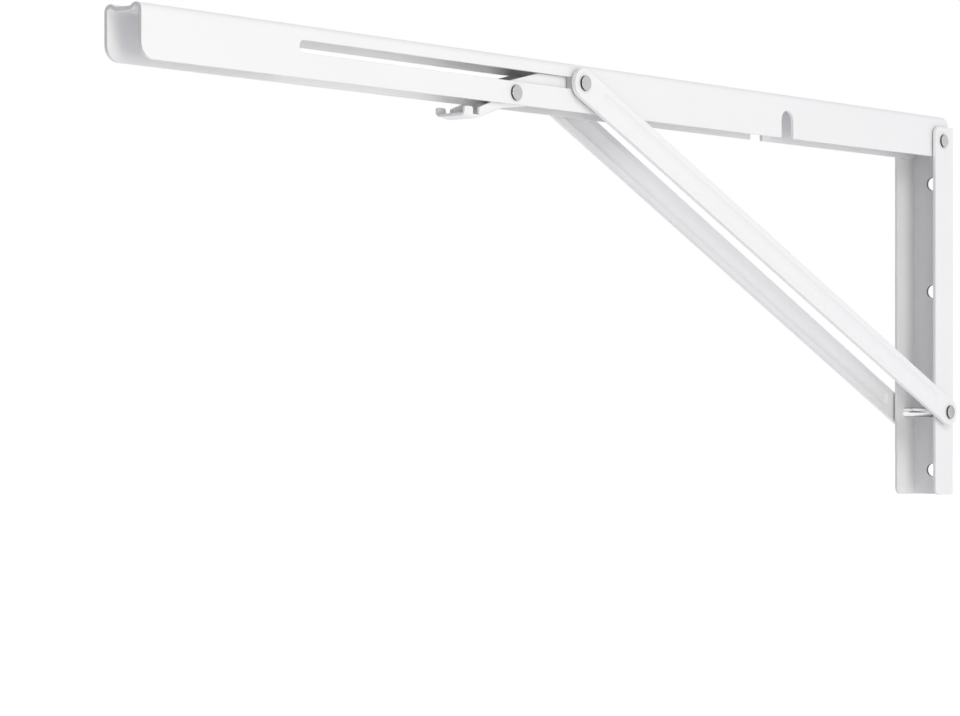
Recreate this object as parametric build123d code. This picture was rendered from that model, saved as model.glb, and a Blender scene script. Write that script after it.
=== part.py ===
from build123d import *
import math
import os

# Folding shelf bracket, millimetres. The wall plane is Y = 0, the arm reaches along -Y, +Z is up,
# X = 0 is the plane of symmetry, and Z = 0 is the height of the arm's pivot.

# Wall rail: a folded channel, open to the front
rail_height = 198.0
rail_width = 25.5
rail_depth = 19.2
rail_sheet = 1.5
rail_bend_radius = 1.8
rail_corner_radius = 4.0
rail_above_pivot = 7.5
wall_hole_diameter = 7.0
upper_wall_hole_drops = (29.5, 88.0)
low_wall_hole_margin = 13.0

# Pivots and rivets
pivot_from_wall = 11.0
brace_pivot_drop = 146.0
pin_diameter = 5.0
running_clearance = 0.05
rivet_head_diameter = 7.0
rivet_head_height = 1.3
head_play = 0.1

# Support arm: a folded inverted channel between the rail's flanges
arm_reach = 600.0
arm_height = 21.9
arm_above_pivot = 13.4
arm_sheet = 1.5
arm_bend_radius = 3.0
arm_side_gap = 1.0
groove_depth = 1.3
ear_width = 4.1
groove_slope_width = 2.2
groove_floor_radius = 1.5
ear_radius = 1.8
free_end_radius = 6.5
rear_top_radius = 5.0
shelf_screw_diameter = 5.5
inner_shelf_screw_reaches = (80.0, 240.0)
outer_shelf_screw_margin = 40.0

# Slots that the top pin slides in, and the notch that clears the rod when folded
slot_above_pivot = 4.4
slot_clearance = 0.15
slot_rear_play = 0.3
slot_front_play = 2.0
notch_clearance = 2.75

# Brace bars, outside the rail and the arm, a little closer together at the arm
brace_length = 350.0
brace_width = 14.0
brace_thickness = 2.0
brace_rail_gap = 1.85
brace_arm_gap = 1.75
rib_width = 8.0
rib_height = 1.1
rib_end_margin = 18.0

# Washers and bushes
arm_washer_diameter = 10.0
brace_washer_diameter = 10.0
washer_play = 0.1
slide_bush_diameter = 7.4
slide_bush_play = 0.15
open_pivot_gap = 0.3

# Release lever: a pressed U that turns in the arm
lever_from_slide = 45.1
lever_below_pivot = 3.3
lever_side_gap = 0.35
lever_sheet = 1.2
lever_lock_play = 2.4
lever_lock_height = 5.8
lever_lock_flat = 22.0
lever_slot_gap = 0.05
lever_ramp_drop = 5.6
lever_ramp_length = 23.0
lever_knee_drop = 1.8
lever_tab_length = 33.0
lever_tab_drop = 12.2
lever_belly_drop = 13.5
lever_ear_length = 5.6
lever_ear_height = 4.1
lever_notch_length = 4.1
lever_notch_depth = 3.3
lever_bend_radius = 2.2
lever_nose_chamfer = 0.9
lever_nose_length = 3.0
lever_corner_radius = 1.2
lever_web_radius = 14.0

# Torsion spring on the lever's rivet
spring_wire = 0.9
spring_coil_gap = 0.35
spring_turns = 2
spring_wire_side_count = 6
spring_pitch = 1.05
spring_hook_reach = 14.0
spring_hook_clearance = 0.15
spring_leg_reach = 10.0
spring_seat_gap = 0.3

# Worked-out sizes
rail_inner_half = rail_width / 2 - rail_sheet
arm_half = rail_inner_half - arm_side_gap
arm_inner_half = arm_half - arm_sheet
arm_below_pivot = arm_height - arm_above_pivot
wall_hole_drops = (*upper_wall_hole_drops, rail_height - low_wall_hole_margin)
shelf_screw_reaches = (*inner_shelf_screw_reaches, arm_reach - outer_shelf_screw_margin)
pin_radius = pin_diameter / 2
hole_diameter = pin_diameter + 2 * running_clearance
head_radius = rivet_head_diameter / 2
slot_height = pin_diameter + 2 * slot_clearance
notch_width = pin_diameter + 2 * notch_clearance
brace_inner = rail_width / 2 + brace_rail_gap
brace_outer = brace_inner + brace_thickness
slide_inner = arm_half + brace_arm_gap
slide_outer = slide_inner + brace_thickness
slide_rise = brace_pivot_drop + slot_above_pivot
slide_rest = math.sqrt(brace_length**2 - slide_rise**2)
slide_folded = brace_pivot_drop + math.sqrt(brace_length**2 - slot_above_pivot**2)
lever_reach = slide_rest + lever_from_slide
lever_half = arm_inner_half - lever_side_gap
lever_inner_half = lever_half - lever_sheet
lever_web_start = lever_reach - 2 * pin_diameter
lever_knee = (lever_reach + pin_diameter, -arm_below_pivot - lever_knee_drop)
spring_radius = pin_radius + spring_coil_gap + spring_wire / 2
far_outside = 100.0

# The spring's leg is tangent to its coil and bears on the web at the lever's knee
spring_seat = (
    lever_knee[0] - lever_reach,
    lever_knee[1] + lever_below_pivot + lever_sheet + spring_seat_gap + spring_wire / 2,
)
spring_leg_slope = math.degrees(
    math.atan2(-spring_seat[1], spring_seat[0]) - math.asin(spring_radius / math.hypot(*spring_seat))
)


def side(reach, height):
    """The (Y, Z) place of a point that lies reach along the level arm and height above its pivot."""
    return (-pivot_from_wall - reach, height)


def side_prism(face, half_width):
    """A side view drawn on the YZ plane, made solid from -half_width to +half_width across X."""
    return extrude(Plane.YZ.offset(-half_width) * face, 2 * half_width)


def across(reach, height, radius, start, end):
    """A round bar along X from start to end, centred at one place of the side view."""
    y, z = side(reach, height)
    return Pos((start + end) / 2, y, z) * Rot(0, 90, 0) * Cylinder(radius, abs(end - start))


def cross_hole(reach, height, diameter):
    """A cutter for a round hole through everything along X."""
    return across(reach, height, diameter / 2, -far_outside, far_outside)


def ring(reach, height, outer_diameter, start, end):
    """A washer or spacer round a pin, from start to end along X."""
    return across(reach, height, outer_diameter / 2, start, end) - cross_hole(reach, height, hole_diameter)


def corners_at(face, *points):
    """The corners of a flat face that lie at the given places."""
    return [v for v in face.vertices() for p in points if math.dist((v.X, v.Y), p) < 0.01]


def mirrored(solid):
    """The same piece on the other side of the plane X = 0."""
    return mirror(solid, Plane.YZ)


def make_wall_rail():
    """Channel with its web on the wall: bent sheet, rounded flange corners, wall and pivot holes."""
    half, extra = rail_width / 2, rail_depth
    outline = Pos(0, -(rail_depth + extra) / 2) * Rectangle(rail_width, rail_depth + extra)
    outline = fillet(corners_at(outline, (-half, 0), (half, 0)), rail_bend_radius)
    section = outline - offset(outline, -rail_sheet)
    section &= Pos(0, -rail_depth / 2) * Rectangle(rail_width, rail_depth)
    bottom = rail_above_pivot - rail_height
    rail = extrude(Pos(0, 0, bottom) * section, rail_height)
    flange = Pos(-rail_depth / 2, bottom + rail_height / 2) * Rectangle(rail_depth, rail_height)
    front = corners_at(flange, (-rail_depth, bottom), (-rail_depth, rail_above_pivot))
    rail &= side_prism(fillet(front, rail_corner_radius), half)
    for drop in wall_hole_drops:
        rail -= Pos(0, 0, rail_above_pivot - drop) * Rot(90, 0, 0) * Cylinder(
            wall_hole_diameter / 2, 2 * rail_depth
        )
    rail -= cross_hole(0, 0, hole_diameter)
    rail -= cross_hole(0, -brace_pivot_drop, hole_diameter)
    return rail


def make_arm_section():
    """Section across the arm: two side walls, a raised ear over each, and the sunk panel between."""
    top, floor = arm_above_pivot, arm_above_pivot - groove_depth
    ear_start = arm_half - ear_width
    floor_half = ear_start - groove_slope_width
    low = -arm_below_pivot - 2 * arm_sheet
    outline = make_face(
        Polyline(
            (-arm_half, low), (-arm_half, top), (-ear_start, top), (-floor_half, floor),
            (floor_half, floor), (ear_start, top), (arm_half, top), (arm_half, low), close=True,
        )
    )
    outline = fillet(corners_at(outline, (-arm_half, top), (arm_half, top)), arm_bend_radius)
    outline = fillet(corners_at(outline, (-ear_start, top), (ear_start, top)), ear_radius)
    outline = fillet(corners_at(outline, (-floor_half, floor), (floor_half, floor)), groove_floor_radius)
    section = outline - offset(outline, -arm_sheet)
    return section & Pos(0, arm_above_pivot - arm_height / 2) * Rectangle(2 * arm_half, arm_height)


def make_support_arm():
    """The arm's folded sheet, with rounded ends, two slots, the rod notch and the screw holes."""
    rear = -arm_below_pivot
    length = arm_reach - pivot_from_wall - rear
    arm = extrude(Plane.XZ.offset(pivot_from_wall + rear) * make_arm_section(), length)

    profile = Pos(*side(rear + length / 2, arm_above_pivot - arm_height / 2)) * Rectangle(length, arm_height)
    low_rear, low_front = side(rear, -arm_below_pivot), side(rear + length, -arm_below_pivot)
    profile = fillet(corners_at(profile, low_rear), arm_below_pivot)
    profile = fillet(corners_at(profile, low_front), free_end_radius)
    profile = fillet(corners_at(profile, side(rear, arm_above_pivot)), rear_top_radius)
    arm &= side_prism(profile, arm_half)

    slot_start = slide_rest - slot_rear_play
    slot_end = slide_folded + slot_front_play
    slot = Pos(*side((slot_start + slot_end) / 2, slot_above_pivot)) * SlotCenterToCenter(
        slot_end - slot_start, slot_height
    )
    arm -= side_prism(slot, far_outside)

    notch = Pos(*side(brace_pivot_drop, 0)) * Circle(notch_width / 2)
    notch += Pos(*side(brace_pivot_drop, -arm_below_pivot)) * Rectangle(notch_width, 2 * arm_below_pivot)
    arm -= side_prism(notch, far_outside)

    arm -= cross_hole(0, 0, hole_diameter)
    arm -= cross_hole(lever_reach, -lever_below_pivot, hole_diameter)
    hook_radius = spring_wire / 2 + spring_hook_clearance
    arm -= across(
        lever_reach - spring_hook_reach, -lever_below_pivot - spring_radius, hook_radius, -far_outside, 0
    )
    for reach in shelf_screw_reaches:
        arm -= Pos(0, -reach, arm_above_pivot) * Cylinder(shelf_screw_diameter / 2, 4 * arm_sheet)
    return arm


def make_brace_bar():
    """The right-hand bar at rest: a flat strip with round ends and a rib pressed outwards."""
    plate = extrude(Pos(brace_length / 2, 0) * SlotCenterToCenter(brace_length, brace_width), brace_thickness)
    rib_radius = ((rib_width / 2) ** 2 + rib_height**2) / (2 * rib_height)
    rib_length = brace_length - 2 * rib_end_margin
    swell = Pos(brace_length / 2, 0, 0) * Rot(0, 90, 0) * Cylinder(rib_radius, rib_length)
    for end in (rib_end_margin, brace_length - rib_end_margin):
        swell += Pos(end, 0, 0) * Sphere(rib_radius)
    above = Pos(brace_length / 2, 0, far_outside / 2) * Box(2 * brace_length, far_outside, far_outside)
    sunk = rib_height - rib_radius
    crown = (Pos(0, 0, brace_thickness + sunk) * swell) & (Pos(0, 0, brace_thickness) * above)
    recess = (Pos(0, 0, sunk) * swell) & above
    bar = plate + crown - recess
    low = Vector(brace_inner, *side(0, -brace_pivot_drop))
    high = Vector(slide_inner, *side(slide_rest, slot_above_pivot))
    along = (high - low).normalized()
    outwards = along.cross(Vector(1, 0, 0).cross(along))
    bar = Plane(origin=low, x_dir=along, z_dir=outwards).location * bar
    bar -= cross_hole(0, -brace_pivot_drop, hole_diameter)
    return bar - cross_hole(slide_rest, slot_above_pivot, hole_diameter)


def make_rivet(reach, height, grip_half):
    """A rivet right across the part: its shank, and a flat round head outside each face it grips."""
    shank = across(reach, height, pin_radius, -grip_half, grip_half)
    head = across(reach, height, head_radius, grip_half, grip_half + rivet_head_height)
    return shank + head + mirrored(head)


def make_slide_rivet():
    """The top pin's riveted end: its stub in the bar's hole and its head outside the bar."""
    seat = slide_outer + head_play
    stub = across(slide_rest, slot_above_pivot, pin_radius, slide_inner, seat)
    return stub + across(slide_rest, slot_above_pivot, head_radius, seat, seat + rivet_head_height)


def rounded_prism(outline, web_line, half_width, radius):
    """The lever's outline made solid, with the long edges on both sides of its web rounded."""
    prism = side_prism(outline, half_width)
    sides = [e for e in prism.edges() if abs((e @ 0.5).X) > half_width - 0.01]
    low = [e for e in sides if web_line.distance_to(Vertex((e @ 0.5).Y, (e @ 0.5).Z, 0)) < 0.01]
    return fillet(low, radius)


def make_release_lever():
    """Pressed lever: two cheeks with lock plates, ramps, ears and notches, and a bellied web below."""
    lock = slide_rest + pin_radius + lever_lock_play
    lock_top = slot_above_pivot + slot_height / 2 - lever_slot_gap
    lock_low = lock_top - lever_lock_height
    ramp_start = lock + lever_lock_flat
    ramp_end = ramp_start + lever_ramp_length
    tab = lever_reach + lever_tab_length
    tab_low = -lever_below_pivot - lever_tab_drop
    ear_top = tab_low + lever_ear_height
    ear_start = tab - lever_ear_length
    notch_start = ear_start - lever_notch_length
    notch_floor = ear_top - lever_notch_depth
    belly = tab - 1.5 * lever_ear_length
    web_line = FilletPolyline(
        side(lever_web_start, -arm_below_pivot), side(*lever_knee),
        side(belly, -lever_below_pivot - lever_belly_drop), side(tab, tab_low),
        radius=lever_web_radius,
    )
    top_line = Polyline(
        side(tab, tab_low), side(tab, ear_top), side(ear_start, ear_top),
        side(ear_start, notch_floor), side(notch_start, notch_floor), side(notch_start, ear_top),
        side(notch_start - 1.5 * lever_ear_length, -arm_below_pivot),
        side(ramp_end, lock_top - lever_ramp_drop), side(ramp_start, lock_top),
        side(lock, lock_top), side(lock, lock_low), side(lever_web_start, lock_low),
        side(lever_web_start, -arm_below_pivot),
    )
    outline = make_face(Curve() + [web_line, top_line])
    corners = [side(tab, ear_top), side(ear_start, ear_top), side(notch_start, ear_top)]
    outline = fillet(corners_at(outline, *corners), lever_corner_radius)
    lever = rounded_prism(outline, web_line, lever_half, lever_bend_radius)
    lever -= Pos(0, 0, lever_sheet) * side_prism(outline, lever_inner_half)
    between = Pos(*side(lever_web_start - far_outside / 2, 0)) * Rectangle(far_outside, far_outside)
    lever -= side_prism(between, lever_inner_half)

    lever -= cross_hole(lever_reach, -lever_below_pivot, hole_diameter)
    nose, nose_half = side(lock, 0)[0], lever_half - lever_nose_chamfer
    wedge = make_face(
        Polyline((lever_half, nose), (lever_half, nose - lever_nose_length), (nose_half, nose), close=True)
    )
    wedge = extrude(Pos(0, 0, -arm_below_pivot) * wedge, arm_height)
    return lever - wedge - mirrored(wedge)


def wire_along(path):
    """Spring wire swept along a path, with mitred bends."""
    section = Plane(origin=path @ 0, z_dir=path % 0) * RegularPolygon(spring_wire / 2, spring_wire_side_count)
    return sweep(section, path=path, transition=Transition.RIGHT)


def make_lever_spring():
    """Torsion spring round the lever's rivet: one leg on the lever's web, one hooked in the left wall."""
    turns = spring_turns - spring_leg_slope / 360
    length = turns * spring_pitch
    helix = Helix(spring_pitch, length, spring_radius, center=(0, 0, -length / 2))
    leg = Line((spring_radius, 0, -length / 2), (spring_radius, -spring_leg_reach, -length / 2))
    slope = math.radians(spring_leg_slope)
    y, z = side(lever_reach, -lever_below_pivot)
    place = Plane(origin=(0, y, z), x_dir=(0, math.sin(slope), -math.cos(slope)), z_dir=(1, 0, 0))
    low = z - spring_radius
    hook_y = y + spring_hook_reach
    hook = Polyline((length / 2, y, low), (length / 2, hook_y, low), (arm_half, hook_y, low))
    return mirrored(place.location * (wire_along(helix) + wire_along(leg)) + wire_along(hook))


def main():
    """Builds every piece and writes one file for each."""
    flange_half = rail_width / 2
    brace_grip = brace_outer + head_play
    pieces = {
        "wall_rail": make_wall_rail(),
        "support_arm": make_support_arm(),
        "arm_pivot_rivet": make_rivet(0, 0, flange_half),
        "brace_pivot_rod": make_rivet(0, -brace_pivot_drop, brace_grip),
        "lever_rivet": make_rivet(lever_reach, -lever_below_pivot, arm_half),
        "release_lever": make_release_lever(),
        "lever_spring": make_lever_spring(),
    }
    handed = {
        "brace_bar": make_brace_bar(),
        "arm_washer": ring(0, 0, arm_washer_diameter, arm_half + washer_play, rail_inner_half),
        "brace_washer": ring(
            0, -brace_pivot_drop, brace_washer_diameter, flange_half, brace_inner - washer_play
        ),
        "slide_rivet": make_slide_rivet(),
        "slide_stud": across(
            slide_rest, slot_above_pivot, pin_radius, arm_inner_half, slide_inner - open_pivot_gap
        ),
        "slide_bush": ring(
            slide_rest, slot_above_pivot, slide_bush_diameter,
            arm_half + slide_bush_play, slide_inner - open_pivot_gap,
        ),
    }
    for name, solid in handed.items():
        pieces[name + "_right"] = solid
        pieces[name + "_left"] = mirrored(solid)
    os.makedirs("parts", exist_ok=True)
    for name, solid in pieces.items():
        solid.label = name
        export_step(solid, f"parts/{name}.step")


main()
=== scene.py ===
import math

import bpy
import numpy as np
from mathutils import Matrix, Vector


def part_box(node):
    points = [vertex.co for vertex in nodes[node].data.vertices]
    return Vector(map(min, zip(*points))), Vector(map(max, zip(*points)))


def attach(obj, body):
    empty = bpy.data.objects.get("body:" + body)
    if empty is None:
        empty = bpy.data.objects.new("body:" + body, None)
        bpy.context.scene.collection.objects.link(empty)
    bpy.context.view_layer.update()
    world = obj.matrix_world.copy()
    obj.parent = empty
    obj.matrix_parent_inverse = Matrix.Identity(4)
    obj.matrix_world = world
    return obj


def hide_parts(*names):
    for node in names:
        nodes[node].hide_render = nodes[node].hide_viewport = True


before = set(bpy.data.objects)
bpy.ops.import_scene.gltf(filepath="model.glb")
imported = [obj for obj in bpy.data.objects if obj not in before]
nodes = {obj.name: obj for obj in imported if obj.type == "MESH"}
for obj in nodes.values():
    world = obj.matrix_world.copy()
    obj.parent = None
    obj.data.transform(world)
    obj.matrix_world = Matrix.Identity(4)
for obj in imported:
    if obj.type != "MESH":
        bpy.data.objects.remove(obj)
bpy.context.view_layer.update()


# The camera, level with the lower part of the rail and to its right. Its place, lens and small shift were
# worked out from the edges and rivets of the open bracket, so that the model falls where the bracket does.
def add_object(name, data):
    """A new object of this data, put in the scene."""
    thing = bpy.data.objects.new(name, data)
    bpy.context.collection.objects.link(thing)
    return thing


camera_data = bpy.data.cameras.new("bracket_camera")
camera_data.sensor_width = 36
camera_data.lens = 113.15
camera_data.shift_x = -0.12298
camera_data.shift_y = 0.04822
camera_data.clip_start = 0.05
camera_data.clip_end = 60
camera = add_object("bracket_camera", camera_data)
camera.location = (0.8583, -1.4116, -0.1418)
camera.rotation_euler = (math.radians(90), 0, math.radians(37.65))
bpy.context.scene.camera = camera


# The wall rail: a channel of folded mild steel sheet, punched, then coated white with baked powder. The coat
# flows out with a faint orange peel, pulls back a little from sheared edges, and holds a few specks of dust.
# The walls of its punched holes are painted near black, as painted shade.
peel_strength = 0.35
coat_shine = 0.45
wall_hole_levels = (-0.022, -0.0805, -0.1775)
wall_hole_reach = 0.0036
# Painted shade, with its roughness, for the walls of the punched holes.
hole_wall_shade = (0.12, 0.12, 0.12)
hole_wall_shade_roughness = 0.5


def open_group(name, inputs, outputs):
    """A new node group with named inputs, as pairs of name and default, and named outputs.

    A default of four values is a color, and so is the output called Color. All others are numbers. Gives the
    group and the sockets that bring its inputs in.
    """
    group = bpy.data.node_groups.new(name, "ShaderNodeTree")
    for label, value in inputs:
        kind = "NodeSocketColor" if isinstance(value, tuple) else "NodeSocketFloat"
        group.interface.new_socket(name=label, in_out="INPUT", socket_type=kind).default_value = value
    for label in outputs:
        kind = "NodeSocketColor" if label == "Color" else "NodeSocketFloat"
        group.interface.new_socket(name=label, in_out="OUTPUT", socket_type=kind)
    return group, group.nodes.new("NodeGroupInput").outputs


def close_group(group, **results):
    """Links each result to the node group's output of the same name."""
    end = group.nodes.new("NodeGroupOutput")
    for name, socket in results.items():
        group.links.new(socket, end.inputs[name])


def add_node(tree, kind, inputs=(), **settings):
    """A node of this kind, with its settings made and its inputs set or linked from (name, value) pairs."""
    node = tree.nodes.new(kind)
    for name, value in settings.items():
        setattr(node, name, value)
    for name, value in inputs:
        if isinstance(value, bpy.types.NodeSocket):
            tree.links.new(value, node.inputs[name])
        else:
            node.inputs[name].default_value = value
    return node


def work_out(tree, operation, *values, **settings):
    """The result of a Math node on one, two or three values."""
    return add_node(tree, "ShaderNodeMath", enumerate(values), operation=operation, **settings).outputs[0]


def ramp(tree, value, start, end, low=0.0, high=1.0, smooth=False):
    """Goes from low where the value is start to high where it is end, evenly or smoothly, and no further."""
    node = add_node(tree, "ShaderNodeMapRange", [
        ("Value", value), ("From Min", start), ("From Max", end), ("To Min", low), ("To Max", high)])
    node.interpolation_type = "SMOOTHSTEP" if smooth else "LINEAR"
    return node.outputs["Result"]


def mix(tree, kind, factor, first, second):
    """Two colors (kind RGBA) or numbers (kind FLOAT), mixed from the first at 0 to the second at 1."""
    first_place, second_place, result_place = {"RGBA": (6, 7, 2), "FLOAT": (2, 3, 0)}[kind]
    node = add_node(tree, "ShaderNodeMix", [
        ("Factor", factor), (first_place, first), (second_place, second)], data_type=kind)
    return node.outputs[result_place]


def new_material(name):
    """A new material and its shader."""
    material = bpy.data.materials.new(name)
    material.use_nodes = True
    return material, material.node_tree.nodes["Principled BSDF"]


def make_powder_surface():
    """Node group for powder coat: its color, how rough each spot is, and the height of its peel and specks.

    Clouds vary tone and gloss. A speck is the middle of a cell, in the few cells whose random value is low.
    """
    speck_scale, speck_height = 620.0, 1.5
    speck_middle, speck_edge = 0.12, 0.3
    cloud_low, cloud_high = 0.3, 0.7
    tone_start, deepest_tone = 0.35, 0.35
    group, given = open_group("powder_surface", (
        ("Coat Color", (0.86, 0.86, 0.865, 1)), ("Shade Color", (0.8, 0.8, 0.8, 1)),
        ("Peel Scale", 700.0), ("Cloud Scale", 28.0), ("Speck Share", 0.004),
        ("Gloss Low", 0.32), ("Gloss High", 0.44)), ("Color", "Roughness", "Height"))
    place = add_node(group, "ShaderNodeTexCoord").outputs["Object"]
    peel = add_node(group, "ShaderNodeTexNoise", [
        ("Vector", place), ("Scale", given["Peel Scale"]), ("Detail", 2.0),
        ("Roughness", 0.45)]).outputs["Fac"]
    clouds = add_node(group, "ShaderNodeTexNoise", [
        ("Vector", place), ("Scale", given["Cloud Scale"]), ("Detail", 3.0)]).outputs["Fac"]
    cells = add_node(group, "ShaderNodeTexVoronoi", [("Vector", place), ("Scale", speck_scale)])
    chance = add_node(group, "ShaderNodeSeparateColor", [("Color", cells.outputs["Color"])]).outputs["Red"]
    rare = work_out(group, "LESS_THAN", chance, given["Speck Share"])
    near = ramp(group, cells.outputs["Distance"], speck_middle, speck_edge, 1.0, 0.0)
    speck = work_out(group, "MULTIPLY", rare, near)
    tone = ramp(group, clouds, tone_start, cloud_high, 0.0, deepest_tone)
    dark = work_out(group, "ADD", tone, speck, use_clamp=True)
    close_group(
        group,
        Color=mix(group, "RGBA", dark, given["Coat Color"], given["Shade Color"]),
        Roughness=ramp(group, clouds, cloud_low, cloud_high, given["Gloss Low"], given["Gloss High"]),
        Height=work_out(group, "MULTIPLY_ADD", speck, speck_height, peel))
    return group


powder_surface = make_powder_surface()


def feed_shader(tree, surface, bump):
    """Links a surface group's color and roughness, and the bumped normal, to a material's shader."""
    shader = tree.nodes["Principled BSDF"]
    tree.links.new(surface.outputs["Color"], shader.inputs["Base Color"])
    tree.links.new(surface.outputs["Roughness"], shader.inputs["Roughness"])
    tree.links.new(bump.outputs["Normal"], shader.inputs["Normal"])


def make_powder_coat(name, coat, shade, peel_scale, peel_depth, gloss, edge):
    """White baked powder over steel, from its color to its darker shade and from low to high roughness.

    edge is the radius in metres to which the coat rounds a sheared edge.
    """
    material, shader = new_material(name)
    tree = material.node_tree
    surface = add_node(tree, "ShaderNodeGroup", node_tree=powder_surface)
    surface.inputs["Coat Color"].default_value = (*coat, 1)
    surface.inputs["Shade Color"].default_value = (*shade, 1)
    surface.inputs["Peel Scale"].default_value = peel_scale
    surface.inputs["Gloss Low"].default_value, surface.inputs["Gloss High"].default_value = gloss
    rounded = add_node(tree, "ShaderNodeBevel", [("Radius", edge)], samples=4)
    bump = add_node(tree, "ShaderNodeBump", [
        ("Strength", peel_strength), ("Distance", peel_depth), ("Height", surface.outputs["Height"]),
        ("Normal", rounded.outputs["Normal"])])
    feed_shader(tree, surface, bump)
    shader.inputs["Specular IOR Level"].default_value = coat_shine
    return material


def lay_over(material, mask, color, roughness):
    """Covers a material with another color and roughness where a mask is 1."""
    tree = material.node_tree
    shader = tree.nodes["Principled BSDF"]
    for name, kind, value in (("Base Color", "RGBA", (*color, 1)), ("Roughness", "FLOAT", roughness)):
        below = shader.inputs[name].links[0].from_socket
        tree.links.new(mix(tree, kind, mask, below, value), shader.inputs[name])


def shade_hole_walls(material):
    """Paints shade on the rail's punched hole walls: all within wall_hole_reach of a hole's middle line.

    The middle lines run along Y, each at x = 0 and at one of wall_hole_levels.
    """
    tree = material.node_tree
    place = add_node(tree, "ShaderNodeTexCoord").outputs["Object"]
    nearest = None
    for level in wall_hole_levels:
        offset = add_node(tree, "ShaderNodeVectorMath", [
            (0, place), (1, (1.0, 0.0, 1.0)), (2, (0.0, 0.0, -level))], operation="MULTIPLY_ADD")
        distance = add_node(tree, "ShaderNodeVectorMath", [
            (0, offset.outputs["Vector"])], operation="LENGTH").outputs["Value"]
        nearest = distance if nearest is None else work_out(tree, "MINIMUM", nearest, distance)
    within = work_out(tree, "LESS_THAN", nearest, wall_hole_reach)
    lay_over(material, within, hole_wall_shade, hole_wall_shade_roughness)


def finish_node(name, material):
    """Gives a node of the frame its finish."""
    nodes[name].data.materials.clear()
    nodes[name].data.materials.append(material)


rail_coat = make_powder_coat(
    "rail_coat", coat=(0.87, 0.87, 0.875), shade=(0.82, 0.825, 0.835), peel_scale=640.0, peel_depth=0.00003,
    gloss=(0.34, 0.46), edge=0.0003)
# Painted shade on the walls of the rail's punched holes.
shade_hole_walls(rail_coat)
finish_node("wall_rail", rail_coat)


# The support arm: a long inverted channel from the same sheet, coated with the rail. Its broad flat sides
# show the peel best, a little coarser, because the coat is thicker on them. Its inner walls by the lock are
# painted darker, as painted shade.
# Painted shade, with its roughness, for inner walls by the lock.
lock_shade = (0.36, 0.358, 0.352)
lock_shade_roughness = 0.4


def make_lock_shade_patch():
    """Node group for painted shade on the inner side of a channel: 1 where it is full, 0 where there is none.

    In object coordinates it fades in along Y from Outer End to Full From and out from Full To to Inner End,
    fades in upwards from Low to High, and lies only below Ceiling and within Inner Half of the middle plane.
    A noise moves its soft edges by a few millimetres.
    """
    wobble_scale, wobble_shift = 160.0, (0.0, 0.008, 0.002)
    group, given = open_group("lock_shade_patch", (
        ("Inner Half", 0.009), ("Outer End", -0.378), ("Full From", -0.360), ("Full To", -0.328),
        ("Inner End", -0.316), ("Low", -0.002), ("High", 0.003), ("Ceiling", 0.0113)), ("Patch",))
    place = add_node(group, "ShaderNodeTexCoord").outputs["Object"]
    wobble_noise = add_node(group, "ShaderNodeTexNoise", [
        ("Vector", place), ("Scale", wobble_scale), ("Detail", 3.0)])
    centred = add_node(group, "ShaderNodeVectorMath", [
        (0, wobble_noise.outputs["Color"]), (1, (0.5, 0.5, 0.5))], operation="SUBTRACT")
    shifted = add_node(group, "ShaderNodeVectorMath", [
        (0, centred.outputs["Vector"]), (1, wobble_shift), (2, place)], operation="MULTIPLY_ADD")
    true = add_node(group, "ShaderNodeSeparateXYZ", [("Vector", place)]).outputs
    wobbled = add_node(group, "ShaderNodeSeparateXYZ", [("Vector", shifted.outputs["Vector"])]).outputs
    patch = ramp(group, wobbled["Y"], given["Outer End"], given["Full From"], smooth=True)
    for mask in (
            ramp(group, wobbled["Y"], given["Inner End"], given["Full To"], smooth=True),
            ramp(group, wobbled["Z"], given["Low"], given["High"], smooth=True),
            work_out(group, "LESS_THAN", work_out(group, "ABSOLUTE", true["X"]), given["Inner Half"]),
            work_out(group, "LESS_THAN", true["Z"], given["Ceiling"])):
        patch = work_out(group, "MULTIPLY", patch, mask)
    close_group(group, Patch=patch)
    return group


lock_shade_patch = make_lock_shade_patch()


def paint_lock_shade(material, **sizes):
    """Lays painted shade over a material, as a patch of the given sizes."""
    patch = add_node(material.node_tree, "ShaderNodeGroup", node_tree=lock_shade_patch)
    for name, value in sizes.items():
        patch.inputs[name.replace("_", " ").title()].default_value = value
    lay_over(material, patch.outputs["Patch"], lock_shade, lock_shade_roughness)


arm_coat = make_powder_coat(
    "arm_coat", coat=(0.87, 0.87, 0.875), shade=(0.83, 0.832, 0.84), peel_scale=560.0, peel_depth=0.000035,
    gloss=(0.32, 0.42), edge=0.0003)
# Painted shade on the arm's inner walls by the lock, deep in the channel.
paint_lock_shade(arm_coat, inner_half=0.0095, outer_end=-0.370, full_from=-0.350, low=-0.003, high=0.006)
finish_node("support_arm", arm_coat)


# The brace bars: flat strip with a rib pressed along it, blanked with round ends, and coated before riveting.
# The pressing polishes the strip, so the coat lies smoother on it than on the folded sheet.
bar_coat = make_powder_coat(
    "bar_coat", coat=(0.875, 0.875, 0.88), shade=(0.83, 0.832, 0.84), peel_scale=520.0, peel_depth=0.000012,
    gloss=(0.33, 0.43), edge=0.0003)
for bar in ("brace_bar_right", "brace_bar_left"):
    finish_node(bar, bar_coat)


# The release lever: a small pressing of thinner sheet, coated on the rack with the bars. Between its plates,
# behind the rivet, its inner sides get painted shade too.
lever_coat = make_powder_coat(
    "lever_coat", coat=(0.865, 0.867, 0.87), shade=(0.81, 0.813, 0.82), peel_scale=760.0,
    peel_depth=0.000025, gloss=(0.3, 0.42), edge=0.00025)
# Painted shade on the lever's inner sides behind its rivet.
paint_lock_shade(lever_coat, inner_half=0.0078, outer_end=-0.383, full_from=-0.370, low=-0.0082, high=-0.0066)
finish_node("release_lever", lever_coat)


# The washers, bushes and the two studs of the top pin: turned steel with a dull zinc plate. Turning leaves
# fine rings, and the plate is cloudy where it dried.
ring_strength = 0.3


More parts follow.
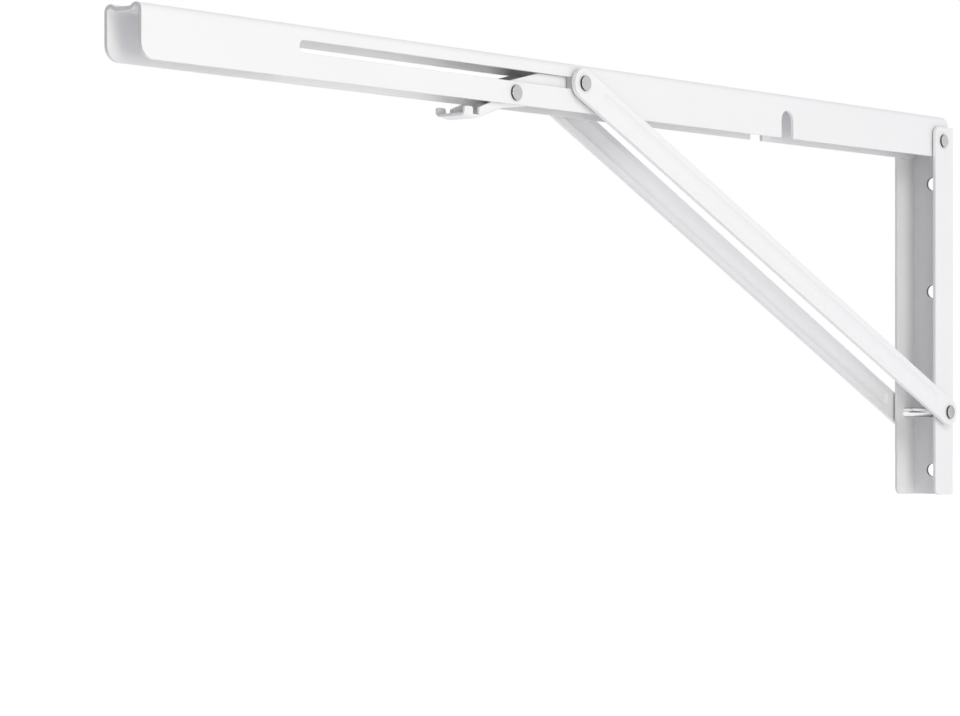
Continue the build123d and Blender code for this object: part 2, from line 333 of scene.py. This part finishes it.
def make_plated_surface():
    """Node group for plated, turned steel: cloudy color and roughness, and the height of fine rings.

    The height is the sine of a full turn for each ring, pushed along a little by a noise.
    """
    cloud_scale, wander_scale = 380.0, 900.0
    cloud_low, cloud_high = 0.3, 0.7
    shiniest, dullest = 0.8, 1.2
    group, given = open_group("plated_surface", (
        ("Ring Place", 0.0), ("Rings Per Metre", 2500.0), ("Metal Color", (0.6, 0.6, 0.58, 1)),
        ("Cloud Color", (0.5, 0.5, 0.5, 1)), ("Gloss", 0.3)), ("Color", "Roughness", "Height"))
    place = add_node(group, "ShaderNodeTexCoord").outputs["Object"]
    clouds = add_node(group, "ShaderNodeTexNoise", [
        ("Vector", place), ("Scale", cloud_scale), ("Detail", 3.0)]).outputs["Fac"]
    wander = add_node(group, "ShaderNodeTexNoise", [
        ("Vector", place), ("Scale", wander_scale), ("Detail", 1.0)]).outputs["Fac"]
    rings = work_out(group, "MULTIPLY", given["Ring Place"], given["Rings Per Metre"])
    angle = work_out(group, "MULTIPLY", work_out(group, "ADD", rings, wander), 2 * math.pi)
    dullness = ramp(group, clouds, cloud_low, cloud_high, shiniest, dullest)
    close_group(
        group,
        Color=mix(group, "RGBA", clouds, given["Metal Color"], given["Cloud Color"]),
        Roughness=work_out(group, "MULTIPLY", dullness, given["Gloss"]),
        Height=work_out(group, "SINE", angle))
    return group


plated_surface = make_plated_surface()


def make_plated_metal(name, metal, cloud, gloss, ring_pitch, ring_depth, profile_rings=False):
    """Plated steel with fine turned rings, ring_pitch apart along X or along a turned piece's profile."""
    material, shader = new_material(name)
    tree = material.node_tree
    places = add_node(tree, "ShaderNodeTexCoord").outputs
    place, axis = (places["UV"], "Y") if profile_rings else (places["Object"], "X")
    ring_place = add_node(tree, "ShaderNodeSeparateXYZ", [("Vector", place)]).outputs[axis]
    surface = add_node(tree, "ShaderNodeGroup", node_tree=plated_surface)
    tree.links.new(ring_place, surface.inputs["Ring Place"])
    surface.inputs["Rings Per Metre"].default_value = 1 / ring_pitch
    surface.inputs["Metal Color"].default_value = (*metal, 1)
    surface.inputs["Cloud Color"].default_value = (*cloud, 1)
    surface.inputs["Gloss"].default_value = gloss
    bump = add_node(tree, "ShaderNodeBump", [
        ("Strength", ring_strength), ("Distance", ring_depth), ("Height", surface.outputs["Height"])])
    feed_shader(tree, surface, bump)
    shader.inputs["Metallic"].default_value = 1
    return material


zinc = make_plated_metal(
    "zinc", metal=(0.55, 0.55, 0.53), cloud=(0.47, 0.475, 0.46), gloss=0.38, ring_pitch=0.00018,
    ring_depth=0.00001)
for kind in ("slide_stud", "slide_bush", "arm_washer", "brace_washer"):
    for hand in ("right", "left"):
        finish_node(f"{kind}_{hand}", zinc)


# The rivets: cold-headed steel pins, zinc plated, whose heads are rolled over in place. The rolling leaves a
# slightly crowned face with a rounded rim and faint rings round its middle. The head's side is painted near
# black, as painted shade and a painted dark reflection.
pin_radius = 0.0025
head_radius = 0.0035
head_height = 0.0013
head_crown = 0.00014
rim_radius = 0.00035
seat_radius = 0.0001
crown_points = 9
corner_points = 7
turned_segments = 72
even_reach = 0.000001
# Painted shade and painted dark reflection for the sides of the heads, with their roughness.
rim_shade_paint = (0.06, 0.06, 0.057)
rim_shade_roughness = 0.4


def head_profile(face):
    """Half the outline of a head with its face at x = face, as rows of x and radius, from its middle outwards.

    The face falls by head_crown times the square of its share of the radius. A quarter circle of rim_radius
    turns into the side, and a smaller one turns under to the seat, where the pin begins.
    """
    share = np.linspace(0, 1, crown_points + 1)[1:]
    crown = np.column_stack([face - head_crown * share**2, share * (head_radius - rim_radius)])
    turn = np.linspace(0, math.pi / 2, corner_points + 1)[1:]
    rim = np.column_stack([
        face - head_crown - rim_radius * (1 - np.cos(turn)),
        head_radius - rim_radius * (1 - np.sin(turn))])
    under = np.column_stack([
        face - head_height + seat_radius * (1 - np.sin(turn)),
        head_radius - seat_radius * (1 - np.cos(turn))])
    return np.vstack([crown, rim, under, [(face - head_height, pin_radius)]])


def ring_quads(ring_count, sides):
    """The faces between rings of points, as rows of four. The points are numbered round ring after ring."""
    first = np.arange(sides)
    following = (first + 1) % sides
    rows = (np.arange(ring_count - 1) * sides)[:, None]
    quads = np.stack([
        rows + first, rows + following, rows + sides + following, rows + sides + first], axis=-1)
    return quads.reshape(-1, 4)


def length_along(profile, poles):
    """The length along a profile between its poles, at each of its points and at the poles.

    It counts from the pole that reaches furthest out in x, or from the nearer pole where both reach as far.
    """
    line = np.vstack([(poles[0], 0), profile, (poles[1], 0)])
    steps = np.hypot(np.diff(line[:, 0]), np.diff(line[:, 1]))
    ahead = np.concatenate([[0], np.cumsum(steps)])
    behind = ahead[-1] - ahead
    lead = abs(poles[0]) - abs(poles[1])
    if abs(lead) < even_reach:
        return np.minimum(ahead, behind)
    return ahead if lead > 0 else behind


def turned_surface(name, profile, centre, poles):
    """Carries a profile once round the line along X through centre (y, z), and closes it at two poles.

    A point of the profile at x and radius r goes to (x, y + r cos t, z + r sin t) for each angle t. The
    poles are the x of the two end middles. The UV map has the turn as u, and length_along as v.
    """
    turn = np.linspace(0, 2 * math.pi, turned_segments, endpoint=False)
    x, radius = profile[:, 0][:, None], profile[:, 1][:, None]
    rings = np.stack([
        np.broadcast_to(x, (len(profile), turned_segments)),
        centre[0] + radius * np.cos(turn), centre[1] + radius * np.sin(turn)], axis=-1).reshape(-1, 3)
    ends = np.array([(poles[0], *centre), (poles[1], *centre)])
    points = np.vstack([rings, ends])
    quads = ring_quads(len(profile), turned_segments)
    first = np.arange(turned_segments)
    following = (first + 1) % turned_segments
    last = (len(profile) - 1) * turned_segments
    start = np.column_stack([np.full(turned_segments, len(rings)), following, first])
    end = np.column_stack([np.full(turned_segments, len(rings) + 1), last + first, last + following])
    mesh = bpy.data.meshes.new(name)
    mesh.from_pydata(points.tolist(), [], quads.tolist() + start.tolist() + end.tolist())
    length = length_along(profile, poles)
    lengths = np.concatenate([np.repeat(length[1:-1], turned_segments), length[[0, -1]]])
    turns = np.concatenate([np.tile(first / turned_segments, len(profile)), [0.5, 0.5]])
    corners = np.zeros(len(mesh.loops), dtype=np.int32)
    mesh.loops.foreach_get("vertex_index", corners)
    uv = np.column_stack([turns[corners], lengths[corners]])
    mesh.uv_layers.new(name="turned").data.foreach_set("uv", uv.ravel())
    mesh.shade_smooth()
    return add_object(name, mesh)


def axis_of(node):
    """The y and z of the line along X through the middle of a node's box."""
    low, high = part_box(node)
    return (low[1] + high[1]) / 2, (low[2] + high[2]) / 2


def place_turned(name, node, profile, poles, material, body, slot):
    """Makes a turned piece where the frame has its node, gives it its finish, and puts it on its body."""
    piece = turned_surface(name, profile, axis_of(node), poles)
    piece.data.materials.append(material)
    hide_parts(node)
    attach(piece, body)


def two_headed(node):
    """The profile of a rivet with a head at both ends, and its two ends."""
    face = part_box(node)[1][0]
    half = head_profile(face)
    return np.vstack([half * (-1, 1), half[::-1]]), (-face, face)


def one_headed(node):
    """The profile of a stub with a head at its outer end, from its flat inner end, and its two ends."""
    low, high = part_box(node)
    inner, face = (low[0], high[0]) if high[0] > 0 else (-high[0], -low[0])
    profile = np.vstack([[(inner, pin_radius)], head_profile(face)[::-1]])
    if high[0] > 0:
        return profile, (inner, face)
    return (profile * (-1, 1))[::-1], (-face, -inner)


def make_head_parts():
    """Node group for a headed pin: a mask for its heads and one for their sides, from its UV map's v."""
    group, given = open_group("head_parts", (
        ("Face End", 0.0033), ("Side Start", 0.0037), ("Seat", 0.0049), ("Pin Start", 0.0055)),
        ("Side", "Head"))
    place = add_node(group, "ShaderNodeTexCoord").outputs["UV"]
    along = add_node(group, "ShaderNodeSeparateXYZ", [("Vector", place)]).outputs["Y"]
    head = ramp(group, along, given["Pin Start"], given["Seat"])
    past_face = ramp(group, along, given["Face End"], given["Side Start"])
    close_group(group, Side=work_out(group, "MULTIPLY", past_face, head), Head=head)
    return group


head_parts = make_head_parts()

riveted_zinc = make_plated_metal(
    "riveted_zinc", metal=(0.605, 0.605, 0.6), cloud=(0.525, 0.525, 0.52), gloss=0.24, ring_pitch=0.0004,
    ring_depth=0.000012, profile_rings=True)
parts = add_node(riveted_zinc.node_tree, "ShaderNodeGroup", node_tree=head_parts)
# Painted shade and painted dark reflection on the sides of the rivet heads.
lay_over(riveted_zinc, parts.outputs["Side"], rim_shade_paint, rim_shade_roughness)
for name, node, body in (
        ("arm_pivot", "arm_pivot_rivet", "wall_frame"), ("lever_pivot", "lever_rivet", "arm")):
    place_turned(name, node, *two_headed(node), riveted_zinc, body, "zinc_plate")
for hand in ("right", "left"):
    node = f"slide_rivet_{hand}"
    place_turned(f"slide_head_{hand}", node, *one_headed(node), riveted_zinc, "brace", "zinc_plate")


# The lower pivot rod: bright drawn steel, headed over outside both bars, where it is zinc plated like the
# rivets. Its shank is the one polished surface: it mirrors the studio, and darkens at a shallow angle.
shallow_tint = (0.08, 0.08, 0.08, 1)
rod_head_zinc = (0.56, 0.56, 0.555)
rod_head_roughness = 0.24
bright_steel = make_plated_metal(
    "bright_steel", metal=(0.88, 0.88, 0.88), cloud=(0.83, 0.83, 0.83), gloss=0.08, ring_pitch=0.0005,
    ring_depth=0.000003, profile_rings=True)
bright_steel.node_tree.nodes["Principled BSDF"].inputs["Specular Tint"].default_value = shallow_tint
parts = add_node(bright_steel.node_tree, "ShaderNodeGroup", node_tree=head_parts)
lay_over(bright_steel, parts.outputs["Head"], rod_head_zinc, rod_head_roughness)
# Painted shade and painted dark reflection on the sides of the rod's heads.
lay_over(bright_steel, parts.outputs["Side"], rim_shade_paint, rim_shade_roughness)
place_turned(
    "brace_rod", "brace_pivot_rod", *two_headed("brace_pivot_rod"), bright_steel, "wall_frame", "bright_rod")


# The lever's torsion spring: oiled round wire, wound on a mandrel. One leg bears on the lever's web, and the
# other is hooked through the arm's left wall.
wire_radius = 0.00045
coil_radius = 0.0033
coil_pitch = 0.00105
coil_turns = 2
leg_reach = 0.010
leg_slope = math.radians(17.6)
hook_reach = 0.014
hook_bend = 0.0012
wire_sides = 20
turn_points = 40
leg_points = 12
hook_points = 11
bend_points = 8
end_points = 7


def spring_path(centre, wall):
    """The wire's middle line and its outward directions, as rows of points, for the coil's centre (y, z).

    The leg runs straight into the coil, the coil is a helix along X from angle leg_slope, and the hook runs
    straight along Y from the coil's foot, then round a quarter circle and along X to the wall.
    """
    angle = np.linspace(leg_slope, coil_turns * 2 * math.pi, turn_points * coil_turns)
    rise = coil_pitch * (angle - angle[0]) / (2 * math.pi)
    half = rise[-1] / 2
    out = np.column_stack([np.zeros_like(angle), np.sin(angle), -np.cos(angle)])
    coil = np.column_stack([half - rise, np.full_like(angle, centre[0]), np.full_like(angle, centre[1])])
    coil += coil_radius * out
    back = np.linspace(leg_reach, 0, leg_points, endpoint=False)[:, None]
    leg = coil[0] - back * (0, math.cos(leg_slope), math.sin(leg_slope))
    ahead = np.linspace(0, hook_reach - hook_bend, hook_points + 1)[1:, None]
    straight = coil[-1] + ahead * (0, 1, 0)
    bend = np.linspace(0, math.pi / 2, bend_points + 1)[1:]
    turned = straight[-1] + hook_bend * np.column_stack([
        np.cos(bend) - 1, np.sin(bend), np.zeros_like(bend)])
    across = np.linspace(turned[-1, 0], wall, end_points + 1)[1:]
    end = np.column_stack([
        across, np.full_like(across, turned[-1, 1]), np.full_like(across, turned[-1, 2])])
    hook = np.vstack([straight, turned, end])
    path = np.vstack([leg, coil, hook])
    outward = np.vstack([np.repeat(out[:1], len(leg), 0), out, np.repeat(out[-1:], len(hook), 0)])
    return path, outward


def wire_surface(name, path, outward):
    """A round wire along the path, with two flat ends.

    Each point is the path's plus wire_radius (cos t outward + sin t sideways), where sideways is square to
    outward and to the path's own direction.
    """
    ahead = np.gradient(path, axis=0)
    sideways = np.cross(ahead, outward)
    sideways /= np.linalg.norm(sideways, axis=1)[:, None]
    turn = np.linspace(0, 2 * math.pi, wire_sides, endpoint=False)[None, :, None]
    across = np.cos(turn) * outward[:, None] + np.sin(turn) * sideways[:, None]
    rings = path[:, None] + wire_radius * across
    quads = ring_quads(len(path), wire_sides)
    first = np.arange(wire_sides)
    last = (len(path) - 1) * wire_sides
    ends = [first[::-1].tolist(), (last + first).tolist()]
    mesh = bpy.data.meshes.new(name)
    mesh.from_pydata(rings.reshape(-1, 3).tolist(), [], quads.tolist() + ends)
    mesh.shade_smooth()
    return add_object(name, mesh)


spring_steel = make_plated_metal(
    "spring_steel", metal=(0.3, 0.3, 0.31), cloud=(0.22, 0.22, 0.23), gloss=0.3, ring_pitch=0.0004,
    ring_depth=0.000006)
spring_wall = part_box("lever_spring")[0][0]
spring = wire_surface("spring_wire", *spring_path(axis_of("lever_rivet"), spring_wall))
spring.data.materials.append(spring_steel)
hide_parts("lever_spring")
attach(spring, "arm")


# The studio: a wide pale floor well below the bracket, which hangs as on a wall, an even, faintly blue
# surround and two soft lamps to the right, one high and one low. To the camera and in metal it is all white.
floor_half = 30.0
floor_level = -0.72
floor_glow = 0.22
floor_lift = 0.3
world_glow = 0.69
world_tint = (0.915, 0.918, 1, 1)
white = (1, 1, 1, 1)
lamp_tint = (1, 0.985, 0.86)
bracket_middle = Vector((0, -0.25, -0.05))


def matte_paint(name, grey):
    """Dull paint of one grey, with no shine."""
    material, shader = new_material(name)
    shader.inputs["Base Color"].default_value = (grey, grey, grey, 1)
    shader.inputs["Roughness"].default_value = 0.9
    shader.inputs["Specular IOR Level"].default_value = 0.0
    return material


def seen_rays(tree):
    """1 for rays that see the studio, from the camera or by way of gloss or glass, and 0 for all others."""
    rays = add_node(tree, "ShaderNodeLightPath").outputs
    seen = work_out(tree, "MAXIMUM", rays["Is Camera Ray"], rays["Is Glossy Ray"])
    return work_out(tree, "MAXIMUM", seen, rays["Is Transmission Ray"])


floor_mesh = bpy.data.meshes.new("studio_floor")
floor_mesh.from_pydata(
    [(-floor_half, -floor_half, floor_level), (floor_half, -floor_half, floor_level),
     (floor_half, floor_half, floor_level), (-floor_half, floor_half, floor_level)], [], [(0, 1, 2, 3)])
studio_floor = add_object("studio_floor", floor_mesh)
floor_paint = matte_paint("floor_paint", 0.9)
tree = floor_paint.node_tree
shader = tree.nodes["Principled BSDF"]
lift = work_out(tree, "MULTIPLY_ADD", seen_rays(tree), floor_lift, floor_glow)
tree.links.new(lift, shader.inputs["Emission Strength"])
shader.inputs["Emission Color"].default_value = white
floor_mesh.materials.append(floor_paint)

world = bpy.data.worlds.new("studio")
world.use_nodes = True
tree = world.node_tree
tree.nodes.clear()
glow = add_node(tree, "ShaderNodeBackground", [("Color", world_tint), ("Strength", world_glow)])
backdrop = add_node(tree, "ShaderNodeBackground", [("Color", white), ("Strength", 1.0)])
mixed = add_node(tree, "ShaderNodeMixShader", [
    (0, seen_rays(tree)), (1, glow.outputs[0]), (2, backdrop.outputs[0])])
add_node(tree, "ShaderNodeOutputWorld", [("Surface", mixed.outputs[0])])
bpy.context.scene.world = world


def add_lamp(name, place, size, energy):
    """A square soft lamp, a little warm, at a place, turned towards the bracket's middle."""
    data = bpy.data.lights.new(name, "AREA")
    data.shape = "SQUARE"
    data.size = size
    data.energy = energy
    data.color = lamp_tint
    lamp = add_object(name, data)
    lamp.location = place
    lamp.rotation_euler = (bracket_middle - lamp.location).to_track_quat("-Z", "Y").to_euler()
    lamp.visible_camera = False


add_lamp("high_lamp", (1.9, -1.0, 1.15), size=0.9, energy=10.7)
add_lamp("low_lamp", (1.9, -1.1, -0.3), size=0.6, energy=7.3)


# Two black cards stand out of view beyond the arm's free end. The tall one takes light off what faces that
# way. The low one in front of it draws the dark lines that polished pins show in a white studio.
card_paint = matte_paint("card_paint", 0.02)
card_foot = -0.55


def add_card(name, start, end, top):
    """An upright black card from a start to an end on the floor plan, and from card_foot up to a top."""
    mesh = bpy.data.meshes.new(name)
    mesh.from_pydata(
        [(*start, card_foot), (*end, card_foot), (*end, top), (*start, top)], [], [(0, 1, 2, 3)])
    mesh.materials.append(card_paint)
    card = add_object(name, mesh)
    card.visible_camera = False
    return card


tall_card = add_card("tall_card", (-4.6, -1.4), (1.1, -3.4), top=2.8)
tall_card.visible_glossy = False
add_card("low_card", (-4.5, -1.38), (1.1, -3.35), top=0.75)

bpy.context.scene.view_settings.view_transform = "Standard"
